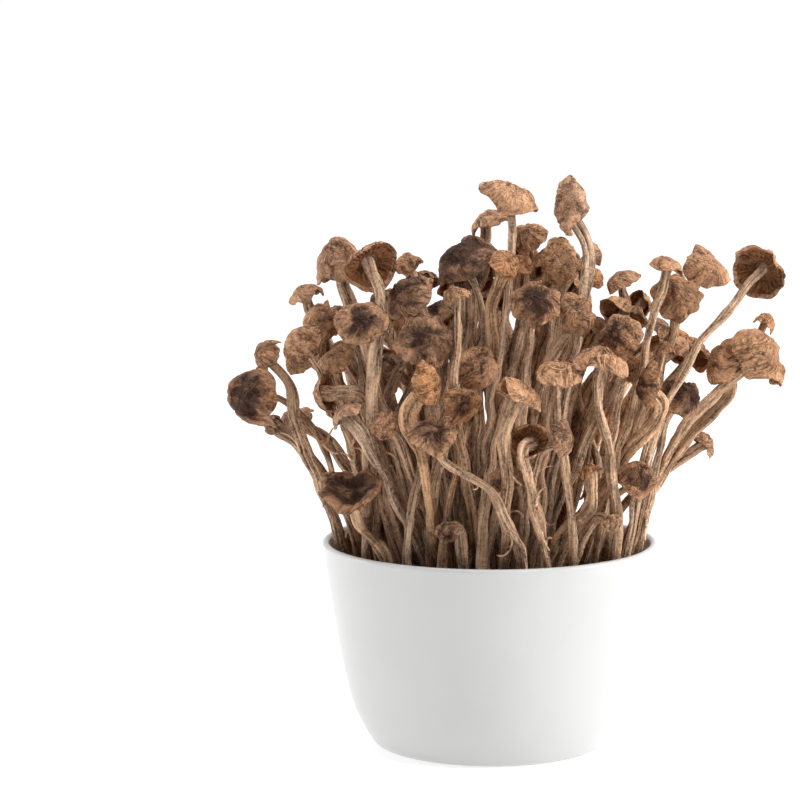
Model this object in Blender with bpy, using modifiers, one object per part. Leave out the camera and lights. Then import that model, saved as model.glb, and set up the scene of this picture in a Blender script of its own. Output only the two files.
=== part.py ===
"""Dried tea tree mushrooms that stand as a bunch in a round white bowl.

Each mushroom is one solid: a cut foot on the bowl's floor, a slender stem and a small cap.
Where two or three grew from one foot, they are one solid. Lengths are in metres and +Z is up.
The origin is the middle of the bowl's underside, and the bunch's front faces -Y.
"""

import math
from collections import namedtuple

import bmesh
import bpy
import numpy as np

MM = 0.001
SEED = 11

# The bowl's outer wall from its foot to under its rim, as (radius, height) in mm.
BOWL_WALL = [
    (37.0, 0.0),
    (39.4, 0.9),
    (41.2, 3.2),
    (44.1, 8.3),
    (46.9, 14.4),
    (49.3, 23.0),
    (51.8, 35.0),
    (54.5, 51.0),
    (57.3, 69.0),
]
RIM_RADIUS = 57.5 * MM
BOWL_HEIGHT = 71 * MM
WALL = 2.4 * MM
FLOOR = 4.5 * MM
BOWL_STEPS = 36

# The bunch: how many mushrooms the rule adds behind those that show in front, and how they stand.
INNER_COUNT = 70
SITE_COUNT = 59
CLUMP = 3
CLUMP_NAMES = {1: "mushroom", 2: "mushroom_pair", 3: "mushroom_trio"}
FOOT_SPREAD = 33.5 * MM
MOUTH_SPREAD = 50 * MM
MOUTH_SHARE = np.array([0.58, 0.78])
CROWD_RADIUS = 76 * MM
CROWD_HEIGHT = 180
CROWD_FRONT = -12
INNER_RADIUS = (4.8, 8.6)
TWIN_GAP = 1.7 * MM
GAP = 0.5 * MM

# One mushroom: rings from the foot to the cap's pole, few enough for a light solid.
STEM_SIDES = 5
CAP_SIDES = 2 * STEM_SIDES
STEM_SEGMENTS = 7
STEM_RADIUS = (1.35 * MM, 2.1 * MM)
FOOT_SWELL = 1.25
NECK = 9 * MM
UNDER_RING = 0.66
TOP_RING = 0.72
DOME_SHARE = 0.58
FLESH = 0.26
FOLD_ANGLE = math.radians(105)
FOLD_SHRINK = 0.35

# The outline of the crowd's top against the sky, seen from the front, as (across, height) in mm.
CROWD_TOPS = [
    (-85, 128),
    (-68, 150),
    (-50, 172),
    (-34, 162),
    (-20, 161),
    (-12, 172),
    (0, 182),
    (30, 178),
    (36, 162),
    (41, 154),
    (46, 162),
    (60, 160),
    (70, 164),
    (90, 160),
]

# How the crowd is eased apart.
EASE_ROUNDS = 640
PAIR_REFRESH = 8
REACH = 6 * MM
CROSSING = 0.3 * MM

# A mushroom as it is placed: the middle of its cap, in mm, as (across, depth, height); the cap's
# radius in mm; its crown, as a share of the radius, below zero where the cap has turned inside
# out; how far its axis tips from upright and the compass heading it tips to, in degrees, with 0
# to the right, 90 to the back and 270 to the front; how far it is folded, from 0 to 1, and the
# turn of the fold's line about the axis; where the stem passes the bowl's mouth, as (across,
# depth) in mm; and a point that the stem passes on its way.
Place = namedtuple("Place", "name cap radius crown tip heading fold turn mouth via")
Place.__new__.__defaults__ = (0.0, 0.0, None, None)

# The mushrooms that show in front, from the left to the right.
FRONT = [
    Place("far_left", (-81, -12, 122), 10.4, 0.5, 86, 226, 0.15, 0, (-46, -14), (-62, -4, 117)),
    Place("pink_left", (-75, -2, 136), 6.8, 0.6, 60, 200, 0.2, 0, (-50, -6), (-66, -8, 116)),
    Place("frilled", (-64, -14, 142), 6.6, 0.5, 60, 250, 0.3, 40),
    Place("small_left", (-62, 2, 156), 6.0, 0.7, 20, 180),
    Place("brown_left", (-56, -5, 143), 7.4, 0.6, 55, 300, 0.5, 60),
    Place("ring_left", (-56, -28, 126), 7.0, 0.5, 100, 160, 0.0, 0, None, (-44, -27, 124)),
    Place("curled_bit", (-53, -25, 136), 5.0, 0.6, 50, 260, 0.4, 20),
    Place("cone", (-50, -10, 169), 8.8, 2.0, 14, 215, 0.2, 80, (-38, -10)),
    Place("under_left", (-41, -23, 168), 9.6, 0.5, 66, 120, 0.1, 0, (-42, -24)),
    Place("tan_curl", (-49, -33, 119), 5.8, 0.6, 45, 170, 0.3, 90),
    Place("low_cup", (-47, -37, 93), 10.4, -0.42, 26, 262, 0.1, 0, (-36, -36)),
    Place("dark_eye", (-41, -34, 150), 8.0, 0.5, 68, 270, 0.1, 0),
    Place("low_curl", (-36, -37, 116), 5.2, 0.6, 70, 240, 0.3, 30),
    Place("wrinkled", (-29, -28, 158), 9.2, 0.6, 50, 220, 0.15, 0),
    Place("finger", (-28, -4, 167), 5.0, 1.0, 20, 200, 0.9, 90),
    Place("mid_dome", (-22, -37, 144), 9.4, 0.55, 72, 275, 0.1, 0),
    Place("orange_fold", (-22, -46, 131), 7.6, 0.6, 75, 340, 0.6, 90),
    Place("plain_brown", (-21, 2, 160), 6.0, 0.5, 35, 90, 0.2, 0),
    Place("rim_curl", (-15, -48, 82), 4.6, 0.5, 105, 250, 0.5, 20),
    Place("front_disc", (-20, -51, 115), 7.8, 0.25, 36, 268, 0.0, 0, (10, -45), (-3, -50, 100)),
    Place("small_light", (-12, -38, 160), 5.0, 0.6, 15, 200, 0.3, 0, (-20, -36)),
    Place("red_mid", (-12, -42, 124), 6.4, 0.5, 70, 285, 0.2, 0),
    Place("dark_big", (-8, -18, 169), 11.4, 0.6, 42, 215, 0.2, 30),
    Place("shaded", (-3, -26, 134), 7.6, 0.6, 66, 275, 0.1, 0),
    Place("light_back", (0, 2, 180), 7.4, 0.7, 25, 180, 0.1, 0),
    Place("amber", (4, -24, 168), 6.2, 0.6, 50, 310, 0.4, 20),
    Place("low_knot", (5, -46, 98), 5.4, 0.5, 110, 280, 0.3, 0),
    Place("top_bone", (6, -13, 191), 9.6, 0.4, 28, 345, 0.55, 90, (-10, -26), (8, -21, 172)),
    Place("tan_patch", (8, -52, 128), 8.2, 0.55, 40, 20, 0.3, 90),
    Place("under_curl", (11, -52, 112), 6.8, 0.6, 112, 60, 0.2, 0, (18, -44)),
    Place("dark_centre", (14, -36, 157), 8.2, 0.6, 54, 275, 0.1, 0),
    Place("brown_top", (17, 3, 174), 6.6, 0.7, 42, 240, 0.2, 0),
    Place("red_low", (20, -50, 114), 6.2, 0.5, 80, 320, 0.5, 70),
    Place("small_dome", (22, -49, 137), 7.8, 0.6, 10, 300, 0.0, 0, (26, -42)),
    Place("folded_orange", (24, -5, 168), 8.0, 0.5, 80, 265, 0.5, 90),
    Place("top_pod", (26, -9, 187), 10.2, 0.3, 82, 190, 1.0, 90, (16, -20), (31, -12, 170)),
    Place("ridged", (29, -26, 152), 7.8, 0.6, 60, 300, 0.5, 80),
    Place("low_small", (32, -49, 103), 4.2, 0.7, 20, 180),
    Place("flap", (34, 4, 171), 5.4, 0.5, 60, 0, 0.7, 90),
    Place("flat_front", (35, -43, 139), 10.0, 0.45, 16, 350, 0.15, 0, (42, -31)),
    Place("eye_right", (42, -32, 145), 7.4, 0.6, 70, 240, 0.1, 0),
    Place("tangle", (48, -37, 98), 6.8, 0.55, 66, 290, 0.3, 0),
    Place("rim_hook", (40, -43, 84), 4.0, 0.5, 100, 300, 0.5, 0),
    Place("tan_right", (45, -3, 160), 6.8, 0.5, 25, 180, 0.2, 0),
    Place("fold_right", (46, -7, 150), 8.4, 0.5, 60, 60, 0.4, 30),
    Place("dark_fold", (50, -34, 130), 7.6, 0.5, 80, 190, 0.8, 90),
    Place("bell", (58, -20, 140), 3.8, 1.2, 10, 0),
    Place("small_top", (58, -25, 168), 6.2, 0.5, 15, 10, 0.2, 0, (36, -30)),
    Place("crackled", (62, -18, 157), 8.6, 0.7, 50, 262, 0.1, 0, (47, -14)),
    Place("dark_low", (64, -22, 123), 7.6, 0.6, 60, 300, 0.3, 0, (50, -16)),
    Place("upper_right", (73, -4, 165), 8.0, 0.55, 52, 300, 0.1, 0),
    Place("curled_right", (77, -5, 136), 9.2, 0.5, 62, 200, 0.4, 60),
    Place("far_under", (90, -16, 165), 9.4, 0.55, 72, 60, 0.1, 0, (44, -26), (60, -28, 128)),
    Place("far_right", (91, -13, 136), 11.6, 0.55, 46, 340, 0.3, 80, (48, -8), (66, -10, 113)),
    Place("tip_right", (94, 2, 146), 4.2, 0.9, 30, 0, 0.3, 0),
]


def removed_scene():
    """Takes every object away, so that the script starts from an empty scene."""
    for thing in list(bpy.data.objects):
        bpy.data.objects.remove(thing)


def new_collection(name):
    group = bpy.data.collections.new(name)
    bpy.context.scene.collection.children.link(group)
    return group


def new_material(name, colour, roughness):
    material = bpy.data.materials.new(name)
    material.use_nodes = True
    shader = material.node_tree.nodes["Principled BSDF"]
    shader.inputs["Base Color"].default_value = (*colour, 1.0)
    shader.inputs["Roughness"].default_value = roughness
    shader.inputs["Metallic"].default_value = 0.0
    return material


def bowl_profile():
    """The bowl's half section: up the inside from the middle, over the lip, down the outside."""
    wall = [(r * MM, z * MM) for r, z in BOWL_WALL]
    inside = [(0.0, FLOOR), (36.5 * MM, FLOOR)]
    inside += [(r - WALL, z) for r, z in wall if z > FLOOR]
    lip = WALL / 2
    middle = RIM_RADIUS - lip
    over = []
    for angle in np.radians([150, 110, 70, 30]):
        over.append((middle + lip * math.cos(angle), BOWL_HEIGHT - lip + lip * math.sin(angle)))
    return [*inside, *over, *wall[::-1], (0.0, 0.0)]


def inner_wall():
    """The inside of the wall as (heights, radii), low to high."""
    radii, heights = np.array(bowl_profile()[1:8]).T
    return heights, radii


def make_bowl(group, material):
    profile = bowl_profile()
    mesh = bpy.data.meshes.new("bowl")
    edges = [(i, i + 1) for i in range(len(profile) - 1)]
    mesh.from_pydata([(r, 0.0, z) for r, z in profile], edges, [])
    bowl = bpy.data.objects.new("bowl", mesh)
    group.objects.link(bowl)
    turn = bowl.modifiers.new("turn", "SCREW")
    turn.axis = "Z"
    turn.steps = turn.render_steps = BOWL_STEPS
    turn.use_merge_vertices = True
    turn.merge_threshold = 0.00001
    turn.use_smooth_shade = True
    mesh.materials.append(material)
    return bowl


def direction(tip, heading):
    """The unit vector that tips this far from upright towards a compass heading, in degrees."""
    t, h = math.radians(tip), math.radians(heading)
    return np.array([math.sin(t) * math.cos(h), math.sin(t) * math.sin(h), math.cos(t)])


def unit(v):
    return v / max(np.linalg.norm(v), 1e-9)


def inner_places(draw):
    """The mushrooms that the rule adds: caps spread as a sunflower's seeds are, under the top."""
    across, tops = np.array(CROWD_TOPS).T
    places = []
    for k, (x, y) in enumerate(sunflower(int(INNER_COUNT * 1.75), CROWD_RADIUS) / MM):
        if y < CROWD_FRONT or len(places) == INNER_COUNT:
            continue
        share = math.hypot(x, y) * MM / CROWD_RADIUS
        radius = draw.uniform(*INNER_RADIUS)
        top = np.interp(x, across, tops) - 0.17 * y
        dome = CROWD_HEIGHT - 44 * share**2.2
        z = min(top, dome) - radius - draw.uniform(0, 9) - (20 if k % 4 == 0 else 0)
        heading = math.degrees(math.atan2(y, x)) + draw.uniform(-50, 50)
        tip = 18 + 62 * share * draw.uniform(0.5, 1.2)
        shape = draw.uniform(0.4, 0.8), tip, heading, draw.uniform(0.0, 0.8), draw.uniform(0, 180)
        places.append(Place(f"inner_{len(places):02d}", (x, y, z), radius, *shape))
    return places


class Mushroom:
    """One mushroom: its stem's points from the foot to the cap, and its cap's own axes."""

    def __init__(self, place, draw):
        self.name = place.name
        self.radius = place.radius * MM
        self.crown = place.crown
        self.fold = place.fold
        self.axis = direction(place.tip, place.heading)
        level = np.cross(self.axis, [0, 0, 1]) if place.tip > 2 else np.array([1.0, 0, 0])
        level = unit(level)
        turn = math.radians(place.turn)
        self.u = unit(level * math.cos(turn) + np.cross(self.axis, level) * math.sin(turn))
        self.v = np.cross(self.axis, self.u)
        self.stem = draw.uniform(*STEM_RADIUS)
        centre = np.array(place.cap) * MM
        self.base = np.zeros(3)
        rings, pole = cap_rings(self)
        points = np.array([p for ring in rings for p in ring] + [pole])
        self.base = centre - (points.min(axis=0) + points.max(axis=0)) / 2
        self.chosen = place.mouth is not None
        mouth = np.array(place.mouth) * MM if self.chosen else centre[:2] * MOUTH_SHARE
        self.mouth = np.array([*mouth, BOWL_HEIGHT])
        self.via = None if place.via is None else np.array(place.via) * MM
        self.sway = draw.uniform(-2.2, 2.2, (3, 2)) * MM

    def under(self, share):
        """The height of the cap's underside above its margin, at this share of the radius."""
        return DOME_SHARE * self.crown * self.radius * (1 - share**2)

    def top(self, share):
        return self.under(share) + FLESH * self.radius * math.sqrt(max(0.0, 1 - share**2))

    def cap_point(self, share, height, angle):
        """A cap point on the axis-centred grid, after the cap is bent about its fold line."""
        along = self.radius * share * math.cos(angle)
        across = self.radius * share * math.sin(angle)
        if self.fold > 0.02:
            across *= 1 - FOLD_SHRINK * self.fold
            bend = (1 - FOLD_SHRINK * self.fold) * self.radius / (self.fold * FOLD_ANGLE)
            turned = across / bend
            across = (bend + height) * math.sin(turned)
            height = (bend + height) * math.cos(turned) - bend
        rise = height - self.under(0.0)
        return self.base + self.u * along + self.v * across + self.axis * rise

    def route(self, foot):
        """The stem's points: a smooth curve through foot, mouth, via and neck to the cap."""
        self.foot = foot
        neck = self.base - self.axis * NECK
        knots = [foot, self.mouth, neck, self.base]
        if self.via is not None:
            knots.insert(2, self.via)
        fine = curve_through(knots, 24)
        along = np.concatenate([[0], np.cumsum(np.linalg.norm(np.diff(fine, axis=0), axis=1))])
        share = 1 - (1 - np.linspace(0, 1, STEM_SEGMENTS + 1)) ** 1.12
        at = share * along[-1]
        points = np.stack([np.interp(at, along, fine[:, k]) for k in range(3)], axis=1)
        wave = np.sin(np.outer(share, [1, 2, 3]) * math.pi) @ self.sway
        points[:, :2] += wave * (share * (1 - share) * 3)[:, None]
        points[0], points[-1] = foot, self.base
        self.points = points

    def stem_radii(self):
        share = np.linspace(0, 1, STEM_SEGMENTS + 1)
        return self.stem * (FOOT_SWELL - (FOOT_SWELL - 1) * np.minimum(1, share * 2.5))

    def cap_balls(self):
        """Balls that fill the cap, as offsets from its base and radii."""
        count, size = 9, 0.32 * self.radius
        found = []
        for k in range(count):
            height = (self.under(0.76) + self.top(0.76)) / 2
            found.append((self.cap_point(0.72, height, 2 * math.pi * k / count), size))
        middle = (self.under(0.0) + self.top(0.0)) / 2
        for k in range(4):
            angle = math.pi / 4 + math.pi * k / 2
            found.append((self.cap_point(0.34, middle, angle), 0.30 * self.radius))
        return [p - self.base for p, _ in found], [r for _, r in found]


def curve_through(knots, steps):
    """A centripetal Catmull-Rom curve through the knots, with its ends drawn on straight."""
    p = [np.array(k, float) for k in knots]
    p = [2 * p[0] - p[1], *p, 2 * p[-1] - p[-2]]
    out = []
    for i in range(1, len(p) - 2):
        t = [0.0]
        for a, b in ((i - 1, i), (i, i + 1), (i + 1, i + 2)):
            t.append(t[-1] + np.linalg.norm(p[b] - p[a]) ** 0.5)
        for s in np.linspace(t[1], t[2], steps, endpoint=False):
            a1 = (p[i - 1] * (t[1] - s) + p[i] * (s - t[0])) / (t[1] - t[0])
            a2 = (p[i] * (t[2] - s) + p[i + 1] * (s - t[1])) / (t[2] - t[1])
            a3 = (p[i + 1] * (t[3] - s) + p[i + 2] * (s - t[2])) / (t[3] - t[2])
            b1 = (a1 * (t[2] - s) + a2 * (s - t[0])) / (t[2] - t[0])
            b2 = (a2 * (t[3] - s) + a3 * (s - t[1])) / (t[3] - t[1])
            out.append((b1 * (t[2] - s) + b2 * (s - t[1])) / (t[2] - t[1]))
    out.append(p[-2])
    return np.array(out)


def sunflower(count, spread):
    """Points that fill a disc evenly, placed as a sunflower's seeds are."""
    k = np.arange(count) + 0.5
    angle = k * math.pi * (3 - math.sqrt(5))
    reach = spread * np.sqrt(k / count)
    return np.stack([reach * np.cos(angle), reach * np.sin(angle)], axis=1)


def share_mouth(mushrooms):
    """Spreads the stems over the bowl's mouth, outermost first, each near where it would go."""
    free = list(sunflower(len(mushrooms), MOUTH_SPREAD))
    order = sorted(mushrooms, key=lambda m: (not m.chosen, -np.linalg.norm(m.mouth[:2])))
    for m in order:
        near = min(range(len(free)), key=lambda k: np.linalg.norm(free[k] - m.mouth[:2]))
        spot = free.pop(near)
        if not m.chosen:
            m.mouth[:2] = spot


def settle_feet(mushrooms):
    """Gives each mushroom a place on the bowl's floor, up to CLUMP to a place, nearest first."""
    sites = sunflower(SITE_COUNT, FOOT_SPREAD)
    held = [[] for _ in sites]
    shrink = FOOT_SPREAD / (RIM_RADIUS - WALL)
    order = sorted(range(len(mushrooms)), key=lambda i: -np.linalg.norm(mushrooms[i].mouth[:2]))
    spare = len(mushrooms) - SITE_COUNT
    for i in order:
        wish = mushrooms[i].mouth[:2] * shrink
        shared = sum(len(h) - 1 for h in held if h)
        best = None
        for s, site in enumerate(sites):
            if len(held[s]) == CLUMP or (held[s] and shared >= spare):
                continue
            cost = np.linalg.norm(site - wish) + 3 * MM * len(held[s])
            if best is None or cost < best[0]:
                best = (cost, s)
        held[best[1]].append(i)
    groups = [members for members in held if members]
    for members, site in zip(groups, (site for site, h in zip(sites, held) if h)):
        share_site([mushrooms[i] for i in members], site)
    return groups


def share_site(members, site):
    """Stands mushrooms round one place, each on the side that its stem leans to."""
    middle = sum(m.mouth[:2] for m in members) / len(members)
    lean = [math.atan2(*(m.mouth[:2] - middle)[::-1]) for m in members]
    order = sorted(range(len(members)), key=lambda k: lean[k])
    reach = TWIN_GAP / 2 if len(members) > 1 else 0.0
    for step, k in enumerate(order):
        angle = lean[order[0]] + 2 * math.pi * step / len(members)
        spot = site + reach * np.array([math.cos(angle), math.sin(angle)])
        members[k].route(np.array([*spot, FLOOR + GAP]))


def closest(a, b, c, d):
    """The nearest points of segments ab and cd, as shares along each, for whole arrays."""
    ab, cd, ca = b - a, d - c, a - c
    e, f, g = (ab * ab).sum(1), (ab * cd).sum(1), (cd * cd).sum(1)
    h, k = (ab * ca).sum(1), (cd * ca).sum(1)
    tiny = 1e-14
    bottom = e * g - f * f
    s = np.where(bottom > tiny, np.clip((f * k - g * h) / np.maximum(bottom, tiny), 0, 1), 0.5)
    t = np.where(g > tiny, (f * s + k) / np.maximum(g, tiny), 0.0)
    t = np.clip(t, 0, 1)
    s = np.where(e > tiny, np.clip((f * t - h) / np.maximum(e, tiny), 0, 1), 0.0)
    return s, t


def ease_apart(mushrooms, groups):
    """Moves stems and caps aside until no two of them touch, and all stay inside the bowl.

    It returns which pairs are left that still cross, and how deeply, later ones being the spare.
    Every stem segment is a capsule and every cap a set of balls. Capsules that come nearer
    than GAP push each other apart by half the shortfall, and what a stem's points are moved
    by is smoothed along the stem, so that it bends and doesn't kink.
    """
    n, last = len(mushrooms), STEM_SEGMENTS
    start = np.stack([m.points for m in mushrooms])
    moved = np.zeros_like(start)
    group_of = np.zeros(n, int)
    for g, members in enumerate(groups):
        group_of[members] = g
    parts = []
    for i, m in enumerate(mushrooms):
        radii = m.stem_radii()
        for s in range(last):
            parts.append((i, s, s + 1, radii[s], np.zeros(3)))
        for ball, size in zip(*m.cap_balls()):
            parts.append((i, last, last, size, ball))
    owner, low, high, radius, offset = (np.array(column) for column in zip(*parts))
    heights, radii = inner_wall()
    lead, follow = np.triu_indices(len(owner), 1)
    apart = owner[lead] != owner[follow]
    twins = (group_of[owner[lead]] == group_of[owner[follow]]) & (low[lead] < 2) & (low[follow] < 2)
    lead, follow = lead[apart & ~twins], follow[apart & ~twins]
    near = None
    for turn in range(EASE_ROUNDS):
        now = start + moved
        a = now[owner, low] + offset
        b = now[owner, high] + offset
        if turn % PAIR_REFRESH == 0:
            middle, half = (a + b) / 2, np.sqrt(((b - a) ** 2).sum(1)) / 2 + radius
            gap = np.sqrt(((middle[lead] - middle[follow]) ** 2).sum(1))
            near = np.nonzero(gap < half[lead] + half[follow] + REACH)[0]
        i, j = lead[near], follow[near]
        s, t = closest(a[i], b[i], a[j], b[j])
        p = a[i] + (b[i] - a[i]) * s[:, None]
        q = a[j] + (b[j] - a[j]) * t[:, None]
        away = p - q
        distance = np.sqrt((away**2).sum(1))
        short = radius[i] + radius[j] + GAP - distance
        hit = short > 0
        i, j, s, t, away, distance, short = (x[hit] for x in (i, j, s, t, away, distance, short))
        push = away / np.maximum(distance, 1e-6)[:, None] * (short / 2)[:, None]
        total, count = np.zeros_like(moved), np.zeros(moved.shape[:2])
        for side, share, sign in ((i, s, 1.0), (j, t, -1.0)):
            for node, weight in ((low[side], 1 - share), (high[side], share)):
                np.add.at(total, (owner[side], node), sign * push * weight[:, None] * 1.3)
                np.add.at(count, (owner[side], node), weight)
        moved += total / np.maximum(count, 1.0)[:, :, None]
        keep = 1 - 0.03 * max(0.0, 1 - turn / (0.7 * EASE_ROUNDS))
        moved *= keep
        stiff = 0.30 * max(0.1, 1 - turn / (0.9 * EASE_ROUNDS))
        mean = (moved[:, :-2] + moved[:, 2:]) / 2
        moved[:, 1:-1] += stiff * (mean - moved[:, 1:-1])
        moved[:, last - 1] += stiff * (moved[:, last] - moved[:, last - 1])
        hold_in_bowl(start, moved, mushrooms, heights, radii)
        for members in groups:
            moved[members, 0] = moved[members, 0].mean(axis=0)
        moved[:, 0, 2] = 0.0
        moved = np.round(moved, 9)
    for k, m in enumerate(mushrooms):
        m.points = start[k] + moved[k]
        m.base = m.points[-1]
    return list(zip(owner[i], owner[j], short - GAP))


def hold_in_bowl(start, moved, mushrooms, heights, radii):
    """Draws stem points in from the bowl's wall, sampled along every segment below the rim."""
    thick = np.stack([m.stem_radii() for m in mushrooms])
    for share in (0.0, 0.25, 0.5, 0.75):
        now = start + moved
        at = now[:, :-1] * (1 - share) + now[:, 1:] * share
        size = thick[:, :-1]
        reach = np.sqrt(at[..., 0] ** 2 + at[..., 1] ** 2)
        limit = np.interp(at[..., 2] - size, heights, radii) - size - GAP
        over = np.where(at[..., 2] < BOWL_HEIGHT + size + 2 * GAP, np.maximum(0, reach - limit), 0)
        inward = -at[..., :2] / np.maximum(reach, 1e-6)[..., None] * over[..., None]
        moved[:, :-1, :2] += inward * (1 - share)
        moved[:, 1:, :2] += inward * share


def stem_rings(m):
    """The stem's rings, foot first: square to the stem, but flat on the floor at the foot."""
    points, radii = m.points, m.stem_radii()
    after = np.minimum(np.arange(STEM_SEGMENTS + 1) + 1, STEM_SEGMENTS)
    before = np.maximum(np.arange(STEM_SEGMENTS + 1) - 1, 0)
    tangents = [unit(t) for t in points[after] - points[before]]
    tangents[0] = np.array([0.0, 0.0, 1.0])
    tangents[-1] = unit(tangents[-1] + m.axis)
    side = m.u
    rings = []
    for k in range(STEM_SEGMENTS, -1, -1):
        side = unit(side - tangents[k] * np.dot(side, tangents[k]))
        other = np.cross(tangents[k], side)
        ring = []
        for c in range(STEM_SIDES):
            a = 2 * math.pi * c / STEM_SIDES
            ring.append(points[k] + (side * math.cos(a) + other * math.sin(a)) * radii[k])
        rings.append(ring)
    return rings[::-1]


def cap_rings(m):
    """The cap's three rings, under the gills, at the margin and on the crown, and its pole."""
    angles = [2 * math.pi * c / CAP_SIDES for c in range(CAP_SIDES)]
    under = [m.cap_point(UNDER_RING, m.under(UNDER_RING), a) for a in angles]
    margin = [m.cap_point(1.0, 0.0, a) for a in angles]
    crown = [m.cap_point(TOP_RING, m.top(TOP_RING), a) for a in angles]
    return [under, margin, crown], m.cap_point(0.0, m.top(0.0), 0.0)


def make_mushroom(m, group, material):
    """Lofts one closed skin from the foot's cut end up the stem and over the cap."""
    rings, pole = cap_rings(m)
    skin = bmesh.new()
    stem = [[skin.verts.new(p) for p in ring] for ring in stem_rings(m)]
    cap = [[skin.verts.new(p) for p in ring] for ring in rings]
    top = skin.verts.new(pole)
    skin.faces.new(stem[0][::-1])
    for lower, upper in zip(stem, stem[1:]):
        for c in range(STEM_SIDES):
            d = (c + 1) % STEM_SIDES
            skin.faces.new((lower[c], lower[d], upper[d], upper[c]))
    neck, gills = stem[-1], cap[0]
    for c in range(STEM_SIDES):
        d = (c + 1) % STEM_SIDES
        a, b, e = gills[2 * c], gills[2 * c + 1], gills[(2 * c + 2) % CAP_SIDES]
        skin.faces.new((neck[c], b, a))
        skin.faces.new((neck[c], neck[d], b))
        skin.faces.new((neck[d], e, b))
    for lower, upper in zip(cap, cap[1:]):
        for c in range(CAP_SIDES):
            d = (c + 1) % CAP_SIDES
            skin.faces.new((lower[c], lower[d], upper[d], upper[c]))
    for c in range(CAP_SIDES):
        skin.faces.new((cap[-1][c], cap[-1][(c + 1) % CAP_SIDES], top))
    bmesh.ops.triangulate(skin, faces=skin.faces)
    bmesh.ops.recalc_face_normals(skin, faces=skin.faces)
    mesh = bpy.data.meshes.new(m.name)
    skin.to_mesh(mesh)
    skin.free()
    mesh.materials.append(material)
    mesh.shade_smooth()
    thing = bpy.data.objects.new(m.name, mesh)
    group.objects.link(thing)
    return thing


def grow_together(first, others):
    """Joins mushrooms that share a foot into one solid, one after another."""
    for thing in others:
        union = first.modifiers.new("union", "BOOLEAN")
        union.operation = "UNION"
        union.object = thing
        union.solver = "EXACT"
    graph = bpy.context.evaluated_depsgraph_get()
    mesh = bpy.data.meshes.new_from_object(first.evaluated_get(graph))
    first.modifiers.clear()
    first.data = mesh
    for thing in others:
        bpy.data.objects.remove(thing)


def make_bunch(group, material):
    draw = np.random.RandomState(SEED)
    mushrooms = [Mushroom(place, draw) for place in FRONT + inner_places(draw)]
    share_mouth(mushrooms)
    groups = settle_feet(mushrooms)
    crossed = ease_apart(mushrooms, groups)
    left_out = {max(i, j) for i, j, depth in crossed if depth > CROSSING}
    print(len(mushrooms) - len(left_out), "mushrooms;", len(left_out), "left out for want of room")
    clumps = [[i for i in members if i not in left_out] for members in groups]
    for number, members in enumerate((clump for clump in clumps if clump), 1):
        made = [make_mushroom(mushrooms[i], group, material) for i in members]
        if len(made) > 1:
            grow_together(made[0], made[1:])
        made[0].name = f"{CLUMP_NAMES[len(made)]}_{number:02d}"


def main():
    removed_scene()
    group = new_collection("tea_tree_mushroom_bunch")
    white = new_material("white_glaze", (0.86, 0.86, 0.85), 0.35)
    dried = new_material("dried_mushroom", (0.34, 0.21, 0.13), 0.85)
    make_bowl(group, white)
    make_bunch(group, dried)


main()
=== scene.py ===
# %% [markdown]
# # A bunch of dried tea tree mushrooms in a white bowl
# About 120 slender mushrooms, dried whole, stand fanned out in a plain round bowl.
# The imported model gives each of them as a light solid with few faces. This script reads those
# solids, lays a fine dried skin over each one, gives the bowl a smooth wall and a glaze, and
# lights the whole as a photographer does on a white table.

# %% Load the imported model
import math

import bpy
import numpy as np
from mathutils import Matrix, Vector


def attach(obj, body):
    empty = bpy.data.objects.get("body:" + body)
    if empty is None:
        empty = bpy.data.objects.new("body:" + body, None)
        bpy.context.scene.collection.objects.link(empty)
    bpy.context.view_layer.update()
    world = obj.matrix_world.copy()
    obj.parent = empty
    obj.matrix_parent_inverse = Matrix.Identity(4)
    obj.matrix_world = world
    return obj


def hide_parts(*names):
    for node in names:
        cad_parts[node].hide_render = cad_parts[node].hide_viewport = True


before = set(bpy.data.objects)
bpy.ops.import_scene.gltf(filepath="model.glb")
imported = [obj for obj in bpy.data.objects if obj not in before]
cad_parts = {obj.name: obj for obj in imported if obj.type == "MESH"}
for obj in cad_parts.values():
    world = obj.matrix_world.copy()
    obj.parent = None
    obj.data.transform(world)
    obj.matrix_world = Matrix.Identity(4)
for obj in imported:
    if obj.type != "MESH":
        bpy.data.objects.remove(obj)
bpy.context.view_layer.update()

MM = 0.001
SEED = 29
print(len(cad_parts), "solids in the frame")

# %% [markdown]
# ## Helpers: arrays into meshes
# Every surface here is worked out as numpy arrays of points, and only then handed to Blender.
# A grid of points that closes on itself one way is all that a stem, a cap or a bowl needs, with
# a fan of triangles to close each end.


# %% Mesh from arrays
def placed(name, data):
    """A new object that shows the data, at the origin of the scene."""
    thing = bpy.data.objects.new(name, data)
    bpy.context.scene.collection.objects.link(thing)
    return thing


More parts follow.
